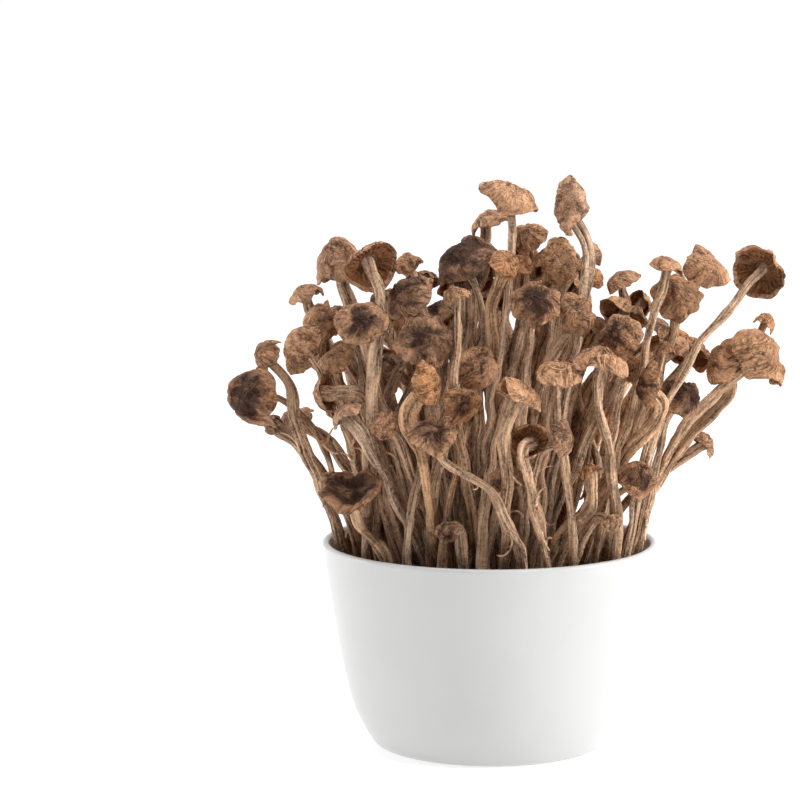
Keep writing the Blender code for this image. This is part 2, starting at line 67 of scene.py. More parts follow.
def mesh_piece(name, points, faces, materials, slots=None, values=None):
    """One object from an array of points in mm and a list of face arrays.

    slots gives each face's material number. values maps an attribute's name to one number,
    or one vector, for each point.
    """
    corners = np.concatenate([f.ravel() for f in faces]).astype(np.int32)
    sizes = np.concatenate([np.full(len(f), f.shape[1], np.int32) for f in faces])
    first = np.concatenate([[0], np.cumsum(sizes)[:-1]]).astype(np.int32)
    mesh = bpy.data.meshes.new(name)
    mesh.vertices.add(len(points))
    mesh.vertices.foreach_set("co", (points * MM).astype(np.float32).ravel())
    mesh.loops.add(len(corners))
    mesh.loops.foreach_set("vertex_index", corners)
    mesh.polygons.add(len(sizes))
    mesh.polygons.foreach_set("loop_start", first)
    mesh.update(calc_edges=True)
    for material in materials:
        mesh.materials.append(material)
    if slots is not None:
        mesh.polygons.foreach_set("material_index", slots.astype(np.int32))
    for key, value in (values or {}).items():
        kind, field = ("FLOAT_VECTOR", "vector") if value.ndim == 2 else ("FLOAT", "value")
        layer = mesh.attributes.new(key, kind, "POINT")
        layer.data.foreach_set(field, value.astype(np.float32).ravel())
    mesh.shade_smooth()
    mesh.validate()
    return placed(name, mesh)


# %% Faces from point numbers
def grid_faces(rows, columns, start=0):
    """Four-cornered faces between the rows of a grid that closes on itself along each row."""
    r, c = np.meshgrid(np.arange(rows - 1), np.arange(columns), indexing="ij")
    d = (c + 1) % columns
    corners = [r * columns + c, r * columns + d, (r + 1) * columns + d, (r + 1) * columns + c]
    return np.stack(corners, -1).reshape(-1, 4) + start


def fan_faces(ring, pole):
    """Triangles from each step of a ring of point numbers to one pole."""
    return np.stack([ring, np.roll(ring, -1), np.full(len(ring), pole)], axis=1)


def closed_faces(rows, columns):
    """The faces of a grid, and fans from its first and last rows to the two points after it."""
    ring, count = np.arange(columns), rows * columns
    ends = [fan_faces(ring[::-1], count), fan_faces(ring + count - columns, count + 1)]
    return [grid_faces(rows, columns), *ends]


def outward(points, faces):
    """The faces of a closed skin, all turned round if they point inwards.

    The skin's volume is the sum over its triangles of a sixth of the triple product of their
    corners, measured from the mean point. It is negative where the faces point inwards.
    """
    triangles = np.concatenate([f[:, [0, k, k + 1]] for f in faces for k in range(1, f.shape[1] - 1)])
    a, b, c = (points[triangles[:, k]] - points.mean(axis=0) for k in range(3))
    volume = np.einsum("ij,ij->i", a, np.cross(b, c)).sum() / 6
    return faces if volume > 0 else [f[:, ::-1] for f in faces]


print(len(grid_faces(3, 24)), "faces join three rings of 24 points")


# %% Rounding and directions
def about_axis(reach, angle, height):
    """The point (reach cos angle, reach sin angle, height) for every row and column."""
    return np.stack(np.broadcast_arrays(reach * np.cos(angle), reach * np.sin(angle), height), axis=-1)


def even_angles(count):
    return 2 * np.pi * np.arange(count) / count


def ease(x, low, high):
    """0 below low, 1 above high, and a smooth S between: 3 t squared less 2 t cubed."""
    t = np.clip((x - low) / (high - low), 0, 1)
    return t * t * (3 - 2 * t)


def unit(v):
    """Each vector over its own length."""
    return v / np.maximum(np.linalg.norm(v, axis=-1, keepdims=True), 1e-9)


print("halfway up, ease gives", ease(0.5, 0, 1))

# %% [markdown]
# ## Helpers: wrinkles
# What dries shrinks, and its skin folds into ridges and creases of every size. Noise on a
# lattice makes them: random numbers at the corners of cubes, blended smoothly in between.
# Folding the noise over at its middle turns smooth bumps into sharp creases.


# %% Lattice noise
# Large primes that spread the bits of a cell's three numbers, and then of their mix.
CELL_PRIMES = np.array([73856093, 19349663, 83492791])
SEED_PRIME, SEED_START = 7919, 12345
MIX_STEPS = ((13, 1274126177), (11, 668265263))
BITS, LOW_BITS = 0x7FFFFFFF, 0xFFFF


def lattice(cells, seed):
    """A fixed random number from 0 to 1 for each whole-number cell, from its well mixed bits."""
    n = np.bitwise_xor.reduce(cells * CELL_PRIMES, axis=-1)
    n = (n ^ (seed * SEED_PRIME + SEED_START)) & BITS
    for shift, prime in MIX_STEPS:
        n = ((n ^ (n >> shift)) * prime) & BITS
    return ((n ^ (n >> 15)) & LOW_BITS) / LOW_BITS


def noise(points, size, seed):
    """Smooth noise from 0 to 1: the eight corners of each point's cube, weighted by nearness."""
    p = points / size
    cell = np.floor(p).astype(np.int64)
    f = p - cell
    f = f * f * (3 - 2 * f)
    total = 0.0
    for corner in np.ndindex(2, 2, 2):
        weight = 1.0
        for k in range(3):
            weight = weight * (f[..., k] if corner[k] else 1 - f[..., k])
        total = total + weight * lattice(cell + np.array(corner), seed)
    return total


CREASE_SLOPE = 2.2


def creases(points, size, seed):
    """Noise folded at its middle, steepened and cut off at 1: flat crests with sharp valleys."""
    return np.clip(np.abs(2 * noise(points, size, seed) - 1) * CREASE_SLOPE, 0, 1)


sample = np.random.RandomState(SEED).uniform(0, 90, (1000, 3))
print("mean of the noise", round(noise(sample, 9.0, SEED).mean(), 2))
print("mean of the creases", round(creases(sample, 9.0, SEED).mean(), 2))


# %% [markdown]
# ## Reading the solids
# Each solid's skin was lofted through rings: a pole on the crown, three rings of ten points for
# the crown, the margin and the gills, and then rings of five down the stem. Walking outwards
# from the pole, one step at a time, finds those rings again, so nothing about where a mushroom
# stands has to be written down twice.

# %% Rings of a solid
CAP_RING, STEM_RING = 10, 5
CAP_RINGS = 3
FEWEST_STEM_RINGS = 2


def points_and_neighbours(node):
    """The node's points in mm, each once, and the set of points that each shares an edge with."""
    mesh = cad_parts[node].data
    points = np.empty(len(mesh.vertices) * 3, np.float32)
    mesh.vertices.foreach_get("co", points)
    corners = np.empty(len(mesh.loops), np.int32)
    mesh.loops.foreach_get("vertex_index", corners)
    points, which = np.unique(points.reshape(-1, 3), axis=0, return_inverse=True)
    triangles = which.reshape(-1)[corners].reshape(-1, 3)
    near = [set() for _ in points]
    for a, b, c in triangles.tolist():
        near[a] |= {b, c}
        near[b] |= {a, c}
        near[c] |= {a, b}
    return points.astype(float) / MM, near


def closed_walk(members, near):
    """The members in order round a closed loop, or None where they don't make one."""
    if any(len(near[v] & members) != 2 for v in members):
        return None
    walk = [min(members)]
    while len(walk) < len(members):
        ahead = sorted((near[walk[-1]] & members) - set(walk))
        if not ahead:
            return None
        walk.append(ahead[0])
    return walk


def rings_from(pole, near):
    """The loops of points at one step from the pole, two steps, and so on, while they are whole."""
    seen, level, loops = {pole}, {pole}, []
    while True:
        level = set().union(*(near[v] for v in level)) - seen
        wanted = CAP_RING if len(loops) < CAP_RINGS else STEM_RING
        walk = closed_walk(level, near) if len(level) == wanted else None
        if walk is None:
            return loops
        loops.append(walk)
        seen |= level


def like(ring, other):
    """The ring turned, and reversed if need be, so that its points lie nearest the other's."""
    options = [np.roll(r, k, axis=0) for r in (ring, ring[::-1]) for k in range(len(ring))]
    return min(options, key=lambda r: np.square(r - other).sum())


# %% Mushrooms of a solid
FOOT_LAYER = 0.05


def read_mushrooms(node):
    """Each mushroom of a node: its pole, crown, margin and gill rings, and its stem's rings.

    The cap's rings all run the same way round the axis: they are reversed where the sum of the
    cross products along the margin points down it.
    """
    points, near = points_and_neighbours(node)
    foot = points[points[:, 2] < points[:, 2].min() + FOOT_LAYER].mean(axis=0)
    found = []
    for pole in range(len(points)):
        if len(near[pole]) != CAP_RING:
            continue
        loops = rings_from(pole, near)
        if len(loops) < CAP_RINGS + FEWEST_STEM_RINGS:
            continue
        crown, margin, gills = (points[loop] for loop in loops[:CAP_RINGS])
        margin = like(margin, crown)
        gills = like(gills, margin)
        stem = [points[loop] for loop in loops[CAP_RINGS:]]
        axis = points[pole] - stem[0].mean(axis=0)
        arms = margin - margin.mean(axis=0)
        turning = np.cross(arms, np.roll(arms, -1, axis=0))
        if turning.sum(axis=0) @ axis < 0:
            crown, margin, gills = crown[::-1], margin[::-1], gills[::-1]
        centres = [ring.mean(axis=0) for ring in stem]
        radii = [np.linalg.norm(ring - c, axis=1).mean() for ring, c in zip(stem, centres)]
        m = {"pole": points[pole], "crown": crown, "margin": margin, "gills": gills}
        found.append({**m, "centres": centres, "radii": radii, "foot": foot})
    return found


bunch = {node: read_mushrooms(node) for node in sorted(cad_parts) if node != "bowl"}
print(sum(len(found) for found in bunch.values()), "mushrooms read from", len(bunch), "solids")

# %% [markdown]
# ## Curves through the rings
# A smooth curve through a few knots is wanted twice: down each stem, and from the crown over
# the margin to the gills at every angle round the cap. The same pyramid of blends does both,
# because its knots can be single points or whole rings.


# %% Curve through knots
def curve(knots, steps):
    """A centripetal Catmull-Rom curve: each stretch blends two parabolas through its four knots.

    knots is an array whose first axis runs along the curve and whose first and last entries
    only set the slopes at the ends. steps gives the number of rows for each stretch.
    """
    gaps = np.sqrt(np.linalg.norm(np.diff(knots, axis=0), axis=-1))
    if gaps.ndim > 1:
        gaps = gaps.mean(axis=tuple(range(1, gaps.ndim)))
    t = np.concatenate([[0], np.cumsum(np.maximum(gaps, 1e-3))])
    rows = []
    for k, count in enumerate(steps, 1):
        p = knots[k - 1 : k + 3]
        a, b, c, d = t[k - 1 : k + 3]
        for s in np.linspace(b, c, count, endpoint=False):
            low = (p[0] * (b - s) + p[1] * (s - a)) / (b - a)
            mid = (p[1] * (c - s) + p[2] * (s - b)) / (c - b)
            top = (p[2] * (d - s) + p[3] * (s - c)) / (d - c)
            first = (low * (c - s) + mid * (s - a)) / (c - a)
            second = (mid * (d - s) + top * (s - b)) / (d - b)
            rows.append((first * (c - s) + second * (s - b)) / (c - b))
    return np.array(rows)


def finer_ring(ring, count):
    """A smooth closed ring through a few points, by adding up its first waves round the loop."""
    n = len(ring)
    waves = np.fft.fft(ring, axis=0) / n
    k = np.fft.fftfreq(n, 1 / n)
    waves[np.abs(k) >= n / 2] = 0
    return np.real(np.exp(1j * np.outer(even_angles(count), k)) @ waves)


print("a curve through five knots has", len(curve(np.eye(5), [8, 8])), "rows between the middle three")


# %% [markdown]
# ## How each mushroom dried
# Some crowns went almost black in the middle, some stayed tan, and a few turned amber. The ones
# that are easy to tell apart in front are listed by where their cap is. The rest are drawn at
# random over the same ranges, from a seeded generator, so that every run gives the same bunch.

# %% Looks by cap
# Cap's place in mm as (across, height), then how dark the crown is, how much of the cap the
# dark covers, how warm the brown is, and how pale the skin is, each from 0 to 1. A last
# number, where there is one, says how far the middle has sunk, as a share of the radius.
KNOWN_LOOKS = {
    "far_left": (-81, 122, 0.95, 0.75, 0.45, 0.2),
    "pink_left": (-75, 136, 0.5, 0.5, 0.4, 0.35),
    "frilled": (-64, 142, 0.15, 0.4, 0.45, 0.65),
    "small_left": (-62, 156, 0.2, 0.4, 0.3, 0.55),
    "brown_left": (-56, 143, 0.35, 0.55, 0.45, 0.45),
    "cone": (-50, 169, 0.35, 0.9, 0.35, 0.35),
    "under_left": (-41, 168, 0.4, 0.8, 0.35, 0.3),
    "low_cup": (-47, 93, 0.9, 0.85, 0.5, 0.35, 0.25),
    "dark_eye": (-41, 150, 0.9, 0.55, 0.4, 0.45),
    "wrinkled": (-29, 158, 0.8, 0.8, 0.35, 0.35),
    "finger": (-28, 167, 0.2, 0.5, 0.35, 0.5),
    "mid_dome": (-22, 144, 0.9, 0.6, 0.35, 0.5),
    "orange_fold": (-22, 131, 0.35, 0.4, 0.85, 0.5),
    "front_disc": (-20, 115, 0.75, 0.7, 0.5, 0.5, 0.1),
    "red_mid": (-12, 124, 0.75, 0.55, 0.7, 0.3),
    "dark_big": (-8, 169, 1.0, 0.9, 0.25, 0.25),
    "shaded": (-3, 134, 0.5, 0.6, 0.4, 0.35),
    "light_back": (0, 180, 0.1, 0.4, 0.35, 0.6),
    "amber": (4, 168, 0.4, 0.4, 0.75, 0.45),
    "top_bone": (6, 191, 0.15, 0.6, 0.4, 0.6),
    "tan_patch": (8, 128, 0.25, 0.35, 0.55, 0.85),
    "under_curl": (11, 112, 0.3, 0.5, 0.5, 0.5),
    "dark_centre": (14, 157, 1.0, 0.75, 0.45, 0.25),
    "brown_top": (17, 174, 0.35, 0.6, 0.45, 0.4),
    "small_dome": (22, 137, 0.2, 0.5, 0.5, 0.6),
    "folded_orange": (24, 168, 0.2, 0.5, 0.5, 0.6),
    "top_pod": (26, 187, 0.1, 0.5, 0.2, 0.65),
    "ridged": (29, 152, 0.5, 0.5, 0.45, 0.5),
    "flat_front": (35, 139, 0.4, 0.6, 0.5, 0.5),
    "eye_right": (42, 145, 0.9, 0.55, 0.45, 0.4),
    "tan_right": (45, 160, 0.25, 0.6, 0.5, 0.75),
    "fold_right": (46, 150, 0.35, 0.6, 0.5, 0.65),
    "tangle": (48, 98, 0.85, 0.65, 0.55, 0.3),
    "crackled": (62, 157, 0.6, 0.8, 0.6, 0.65),
    "small_top": (58, 168, 0.25, 0.5, 0.55, 0.55),
    "dark_low": (64, 123, 0.95, 0.8, 0.45, 0.25),
    "upper_right": (73, 164, 0.4, 0.6, 0.45, 0.75),
    "curled_right": (77, 136, 0.4, 0.6, 0.6, 0.6),
    "far_under": (90, 165, 0.45, 0.6, 0.4, 0.65),
    "far_right": (91, 136, 0.45, 0.55, 0.55, 0.75),
}
NEAR_ENOUGH = 7.0
FRONT_HALF = 12.0
LOOK_NAMES = ("dark", "spread", "warm", "pale", "sunk")
# What the rest are drawn from: two beta curves and an even range.
DARK_BETA, MIDDLE_BETA, SPREAD_RANGE = (1.1, 1.3), (3, 3), (0.4, 0.9)
print(len(KNOWN_LOOKS), "caps have their look written down")


def look_of(pole, margin, draw):
    """A cap's values by name: from the list if one of its places is near, else drawn."""
    dark, spread = draw.beta(*DARK_BETA), draw.uniform(*SPREAD_RANGE)
    values = (dark, spread, draw.beta(*MIDDLE_BETA), draw.beta(*MIDDLE_BETA))
    x, y, z = (pole + margin.mean(axis=0)) / 2
    known = min(KNOWN_LOOKS.values(), key=lambda k: math.hypot(x - k[0], z - k[1]))
    if y < FRONT_HALF and math.hypot(x - known[0], z - known[1]) < NEAR_ENOUGH:
        values = known[2:]
    return dict(zip(LOOK_NAMES, (*values, 0.0)))


# %% [markdown]
# ## The cap
# A dried cap keeps a domed crown, a margin that has rolled under, and the gills below. Its
# profile runs from the pole over the crown, round the thick rolled lip, and up the gills to the
# stem. At every angle the profile is a curve through the solid's own rings, so folds and tips
# come along by themselves. Then the whole plate is bent and folded along the cap's axis, both
# faces together, and last its skin is pushed in and out along the normals.

# %% Cap's grid
# Rows in each stretch of the profile: pole, crown, margin, lip, inner lip, gills, neck.
CAP_STEPS = (9, 8, 4, 3, 5, 4)
CAP_SIDES = 72
CAP_ANGLE = even_angles(CAP_SIDES)
ROW = np.arange(sum(CAP_STEPS))
POLE, CROWN, MARGIN, LIP, INNER_LIP, GILLS, NECK = np.cumsum((0,) + CAP_STEPS)
# How far each row is from the axis, from 0 at the pole to 1 at the margin.
RHO = np.interp(ROW, np.cumsum((0,) + CAP_STEPS), [0.02, 0.72, 1.0, 0.95, 0.86, 0.6, 0.25])[:, None]
# 0 on the crown's side and 1 on the gills' side, and the other way round.
UNDER = ease(ROW, LIP, INNER_LIP)[:, None]
TOP = 1 - UNDER
OUTER = ease(RHO, 0.2, 0.75)
# The skin stays as it is at the pole and on the neck, so that both close.
FADE = 1 - ease(ROW, NECK - 1.5, NECK)[:, None]
OFF_POLE = ease(ROW, POLE, POLE + 1.5)[:, None]
print("a cap has", len(ROW), "rows of", CAP_SIDES, "points")

# %% Cap's knots
ANY_ANGLE = 6.3
MARGIN_IN_OUT = (0.050, 0.3, (2, 3, 4, 6, 9))
MARGIN_UP_DOWN = (0.130, 0.5, (2, 3, 5, 8))
CROWN_SHARES = (0.35, 0.3)
LIP_IN, LIP_DROP = 0.10, 0.10
INNER_LIP_IN, INNER_LIP_DROP = 0.34, 0.01
NECK_SLOPE = 0.3


def margin_wave(draw, size, falling, counts):
    """A wave round the margin: cosines of a few whole counts, each of a random size and phase."""
    wave = 0.0
    for k in counts:
        height = draw.normal(0, size / k**falling)
        wave = wave + height * np.cos(k * CAP_ANGLE + draw.uniform(0, ANY_ANGLE))
    return wave


def cap_knots(m, neck, draw):
    """The rings that the profile runs through, with the cap's radius and axis.

    The margin strays in and out by one wave and up and down by another, and takes the crown
    along by a share of each. The lip and its inner side lie part of the way to the gills and
    hang a little below the margin. The first ring and the last only set slopes.
    """
    crown, margin, gills = (finer_ring(m[k], CAP_SIDES) for k in ("crown", "margin", "gills"))
    radius = np.linalg.norm(margin - margin.mean(axis=0), axis=1).mean()
    axis = unit(m["pole"] - neck.mean(axis=0))
    out = unit(margin - margin.mean(axis=0))
    wave = margin_wave(draw, *MARGIN_IN_OUT)
    sway = margin_wave(draw, *MARGIN_UP_DOWN)
    share_out, share_up = CROWN_SHARES
    margin = margin + out * (wave * radius)[:, None] + axis * (sway * radius)[:, None]
    crown = crown + out * (wave * radius * share_out)[:, None] + axis * (sway * radius * share_up)[:, None]
    fall = unit(margin - crown)
    inward = gills - margin
    lip = margin + inward * LIP_IN + fall * LIP_DROP * radius
    inner = margin + inward * INNER_LIP_IN + fall * INNER_LIP_DROP * radius
    pole = np.repeat(m["pole"][None], CAP_SIDES, axis=0)
    beyond = np.roll(crown, CAP_SIDES // 2, axis=0)
    below = neck - axis * radius * NECK_SLOPE
    return np.array([beyond, pole, crown, margin, lip, inner, gills, neck, below]), radius, axis


# %% Cap's wrinkles
# Sizes as shares of the cap's radius.
NET_SIZE, FINE_SIZE, PATCH_SIZE, BIG_SIZE, TWIST_SIZE = 0.42, 0.17, 0.42, 0.8, 0.9
RAY_RING, RAY_RISE, RAY_SIZE = 3.2, 1.6, 0.75
# How far off the noise may be sampled, so that no two caps are alike.
FAR_OFF, NEARER = 500, 50


def cap_wrinkles(rows, radius, draw):
    """Noise at each point of the cap, and its relief, a weighted sum of creases.

    A coarse net and fine creases cover the skin evenly. Rays are creases on a cylinder round
    the axis, so they run outwards, and they take over from the net towards the margin.
    """
    seed = int(draw.randint(1, 9999))
    place = rows + draw.uniform(-FAR_OFF, FAR_OFF, 3)
    rough = 0.7 + 0.6 * draw.uniform()
    net = creases(place, NET_SIZE * radius, seed)
    fine = creases(place, FINE_SIZE * radius, seed + 1)
    ring = about_axis(RAY_RING, CAP_ANGLE, RAY_RISE * RHO)
    rays = creases(ring + draw.uniform(-NEARER, NEARER, 3), RAY_SIZE, seed + 2)
    relief = (0.56 - 0.20 * OUTER) * net + 0.24 * fine + (0.20 * (1 - OUTER) + 0.40 * OUTER * rays)
    found = {"place": place, "rough": rough, "fine": fine, "rays": rays, "relief": relief}
    return {
        **found,
        "big": noise(place, BIG_SIZE * radius, seed + 3) - 0.5,
        "patch": noise(place, PATCH_SIZE * radius, seed + 4),
        "twist": noise(place, TWIST_SIZE * radius, seed + 5) - 0.5,
    }


# %% Cap's bends and folds
# As shares of the cap's radius.
DIP_RANGE, DIP_WIDTH, DIP_MOST, BIG_LIFT = (-0.35, 0.06), 0.35, 0.6, 0.34
FOLD_MOST, FOLD_WIDTH, FOLD_ASIDE, FOLD_WAVER, FOLD_COUNT = 0.34, 0.20, 0.5, 0.25, 2.6


def cap_bend(sunk, thick, big, draw):
    """How far each point of the plate moves along the axis, as a share of the radius.

    The crown dips or rises by a bell curve, exp(-(rho/width)^2), and a thin cap does so less. A
    sunk cap has everything outside its middle lifted, and slow noise bends the rest. The fold
    is a bell curve of the distance from a wavering line across the cap.
    """
    dip = draw.uniform(*DIP_RANGE) * min(DIP_MOST, thick) * np.exp(-((RHO / DIP_WIDTH) ** 2)) * TOP
    lift = sunk * ease(RHO, 0.25, 0.95) + BIG_LIFT * big * ease(RHO, 0.0, 0.5)
    line = draw.uniform(0, ANY_ANGLE)
    across = RHO * np.cos(CAP_ANGLE - line) - draw.uniform(-FOLD_ASIDE, FOLD_ASIDE)
    aside = across + FOLD_WAVER * np.sin(FOLD_COUNT * RHO * np.sin(CAP_ANGLE - line))
    fold = draw.uniform(0.0, FOLD_MOST) * np.exp(-((aside / FOLD_WIDTH) ** 2)) * ease(RHO, 0.1, 0.5)
    return dip + lift - fold


# %% Cap's skin
# Each gill is three points wide: one stands out and the two beside it lie back.
SIDES_PER_GILL = 3
GILL_WAVE = np.where(np.arange(CAP_SIDES) % SIDES_PER_GILL == 0, 1.0, -0.5)[None, :]
GILL_ZONE = UNDER * ease(ROW, INNER_LIP, GILLS)[:, None] * (1 - ease(ROW, NECK - 2, NECK))[:, None]
GILL_DEPTH, UNDER_ROUGH = 0.42, 0.12
SWELL, SWELL_LEVEL, FULL_THICK = 0.165, 0.6, 0.35
CROWN_ROWS = slice(3, 7)


def normals_of(rows):
    """Unit normals of a grid that closes along its rows: the cross product of its two slopes."""
    around = np.roll(rows, -1, axis=1) - np.roll(rows, 1, axis=1)
    along = np.gradient(rows, axis=0)
    return unit(np.cross(around, along))


def cap_push(skin, radius, thick):
    """How far the skin moves out in mm: relief on top, and gills and a little roughness below."""
    swell = SWELL * radius * skin["rough"] * min(1.0, thick / FULL_THICK) * (skin["relief"] - SWELL_LEVEL)
    gills = GILL_DEPTH * GILL_WAVE * GILL_ZONE + UNDER_ROUGH * (skin["fine"] - 0.5) * UNDER
    return (TOP * swell + gills) * FADE * OFF_POLE


# %% Cap's colours
STREAKS, STREAK_START, STREAK_TWIST, STREAK_RISE = 1.7, 0.6, 1.1, 0.9
PLACE_SCALE = 9.0
DARKEST = 0.94


def cap_values(look, skin):
    """What the materials read: how dark, raised, warm and pale each point is, and its skin place.

    The dark of the crown fades at a ragged edge and gathers in the furrows. The pale is the skin's own
    tone and patches, and over the outer fifth a painted highlight on the rolled margin. The skin
    place is a cylinder round the axis plus the real place, so the grain runs out from the middle a
    little.
    """
    relief, patch = skin["relief"], skin["patch"]
    edge = look["spread"] + 0.6 * (patch - 0.5) + 0.30 * (skin["rays"] - 0.6) + 0.30 * (skin["fine"] - 0.5)
    dark = look["dark"] * (1 - ease(RHO, edge - 0.45, edge + 0.25)) * TOP
    dark = dark * (0.52 + 0.75 * (1 - relief)) + 0.30 * look["dark"] ** 1.5 * TOP
    # Painted shade: the relief value darkens the hollows of the crown's skin and the grooves between the
    # gills
    height = np.where(UNDER > 0.5, 0.45 + 0.4 * GILL_WAVE * GILL_ZONE, relief)
    reach = STREAKS * np.clip(RHO / STREAK_START, 0, 1)
    place = about_axis(reach, CAP_ANGLE + STREAK_TWIST * skin["twist"], STREAK_RISE * RHO)
    return {
        "dark": np.clip(dark, 0, DARKEST),
        "relief": np.clip(height, 0, 1),
        "warm": np.full(patch.shape, look["warm"]),
        # pale: the skin's own tone and patches, plus a painted highlight over the outer fifth towards the
        # margin
        "pale": np.clip(look["pale"] + 0.9 * (patch - 0.5) + 0.45 * ease(RHO, 0.8, 1.0), 0, 1),
        "skin": place + skin["place"] / PLACE_SCALE,
    }


# %% Cap's surface
def cap_rows(m, neck, draw):
    """The cap's grid from the crown to the neck, and its values for the materials.

    neck is the ring on the stem's top. The grid is the curve through the knots, moved along the
    axis by the bend and then along its normals by the push.
    """
    knots, radius, axis = cap_knots(m, neck, draw)
    rows = curve(knots, CAP_STEPS)
    skin = cap_wrinkles(rows, radius, draw)
    thick = np.linalg.norm(m["pole"] - neck.mean(axis=0)) / radius
    bend = cap_bend(m["look"]["sunk"], thick, skin["big"], draw)
    rows = rows + axis * (radius * bend * FADE)[:, :, None]
    normals = normals_of(rows)
    if np.einsum("ijk,k->ij", normals[CROWN_ROWS], axis).mean() < 0:
        normals = -normals
    rows = rows + normals * cap_push(skin, radius, thick)[:, :, None]
    return rows, cap_values(m["look"], skin)


# %% [markdown]
# ## The stem
# A stem dries from a round, juicy stalk to a twisted strip of fibres. Its cross-section is a
# flattened circle cut by a few sharp furrows, and the whole section turns as it climbs, so the
# furrows wind round the stem. Rows are close together above the bowl's rim and far apart below
# it, where nobody looks.

# %% Stem's path
STEM_SIDES = CAP_SIDES // 3
STEM_ANGLE = even_angles(STEM_SIDES)
STEM_ROWS, FINE_ROWS = 63, 16
RIM_HEIGHT, HIDDEN_SHARE = 64.0, 0.22
SWAY, SWAY_LENGTH, SWAY_APART = 2.0, 9.0, 100
# The sway grows over a stretch below the cap, and dies out over the last stretch above the foot.
SWAY_BELOW_CAP, SWAY_ABOVE_FOOT = (2, 8), (0, 20)


def stem_path(m):
    """Centres, radii and the length from the neck, in rows that are closer above the rim.

    The path is a curve through the solid's rings. Each step of it counts in full above the rim
    and for HIDDEN_SHARE below, and the rows split that count evenly. Slow noise sways them.
    """
    centres = np.array(m["centres"] + [m["foot_spot"]])
    ends = 2 * centres[[0, -1]] - centres[[1, -2]]
    knots = np.concatenate([ends[:1], centres, ends[1:]])
    fine = np.concatenate([curve(knots, [FINE_ROWS] * (len(centres) - 1)), centres[-1:]])
    steps = np.linalg.norm(np.diff(fine, axis=0), axis=1)
    along = np.concatenate([[0], np.cumsum(steps)])
    weight = np.where(fine[1:, 2] > RIM_HEIGHT, 1.0, HIDDEN_SHARE) * steps
    count = np.concatenate([[0], np.cumsum(weight)])
    at = np.interp(np.linspace(0, count[-1], STEM_ROWS), count, along)
    path = np.stack([np.interp(at, along, fine[:, k]) for k in range(3)], axis=1)
    sway = np.stack([noise(path + SWAY_APART * k, SWAY_LENGTH, 5 + k) for k in (1, 2)], axis=1) - 0.5
    sway = sway * SWAY * ease(at, *SWAY_BELOW_CAP)[:, None]
    path[:, :2] += sway * ease(at[-1] - at, *SWAY_ABOVE_FOOT)[:, None]
    knot_at = np.linspace(0, along[-1], len(m["radii"]) + 1)
    radii = np.interp(at, knot_at, m["radii"] + [m["radii"][-1]])
    return path, radii, at


def frames_along(path, first):
    """Two side directions at each point of a path, carried along it with as little turn as can be."""
    tangents = unit(np.gradient(path, axis=0))
    sides, side = [], first
    for tangent in tangents:
        side = unit(side - tangent * (side @ tangent))
        sides.append(side)
    sides = np.array(sides)
    return sides, np.cross(sides, tangents)


def rings_in(plane, angle, flat=1.0):
    """A ring at each point of a path: side cos angle + flat * other sin angle."""
    side, other = plane
    return np.cos(angle)[None, :, None] * side[:, None] + flat * np.sin(angle)[None, :, None] * other[:, None]


print("a stem has", STEM_ROWS, "rows of", STEM_SIDES, "points")

# %% Stem's cross-section
# Each furrow's count round the stem and its depth, as a share of the radius.
FURROWS = ((3, 0.36), (5, 0.20))
FURROW_LEVEL = 0.75
TWIST_RANGE, SLOW_TWIST = (0.010, 0.045), 2.6
FLAT_RANGE = (0.14, 0.42)
FIBRE_SCALE, FIBRE_LENGTH = 2.2, 6
FAR_SIDE = 90


def stem_section(at, where, seed, draw):
    """The section as shares of the radius: its flattened form, its furrows and its fine fibres.

    The form is 1 plus a cosine of twice the angle. A furrow is the square root of a sine's
    absolute value, so it is sharp below and round above. All angles turn with the height.
    """
    slow = noise(where, 1.0, seed) - 0.5
    start, way = draw.uniform(0, ANY_ANGLE), draw.choice([-1, 1])
    twist = start + way * draw.uniform(*TWIST_RANGE) * at + SLOW_TWIST * slow
    theta = STEM_ANGLE - twist[:, None]
    flat = draw.uniform(*FLAT_RANGE)
    form = 1 + flat * np.cos(2 * theta) * (0.7 + 0.9 * noise(where, 0.8, seed + 1))[:, None]
    cut = 0.0
    for count, depth in FURROWS:
        lean = draw.uniform(0.6, 1.3)
        phase = draw.uniform(0, ANY_ANGLE)
        ridge = np.abs(np.sin(count * (STEM_ANGLE - lean * twist[:, None]) / 2 + phase))
        cut = cut + depth * (np.sqrt(ridge) - FURROW_LEVEL)
    ring = about_axis(1.0, STEM_ANGLE, at[:, None] / FIBRE_LENGTH)
    fibre = creases(ring * FIBRE_SCALE + draw.uniform(-FAR_SIDE, FAR_SIDE, 3), 1.0, seed + 2)
    return form, cut, fibre


# %% Stem's surface
SHRUNK, KNOTS_OUT, FIBRE_DEPTH = 0.91, 0.34, 0.10
SLOW_LENGTH = 14.0
FLARE, FLARE_LENGTH, BLEND_LENGTH = 0.30, 5.0, 2.5
# Painted shade: stems are darker towards the bowl's rim and just under the cap. The bruises are the stems'
# own colour.
RIM_SHADE, SHADE_FROM, SHADE_TO = 0.42, RIM_HEIGHT - 8, RIM_HEIGHT + 45
BRUISE, BRUISE_LEVEL, CAP_SHADE = 0.35, 0.72, 0.25
SKIN_RING, SKIN_LENGTH = 1.4, 22


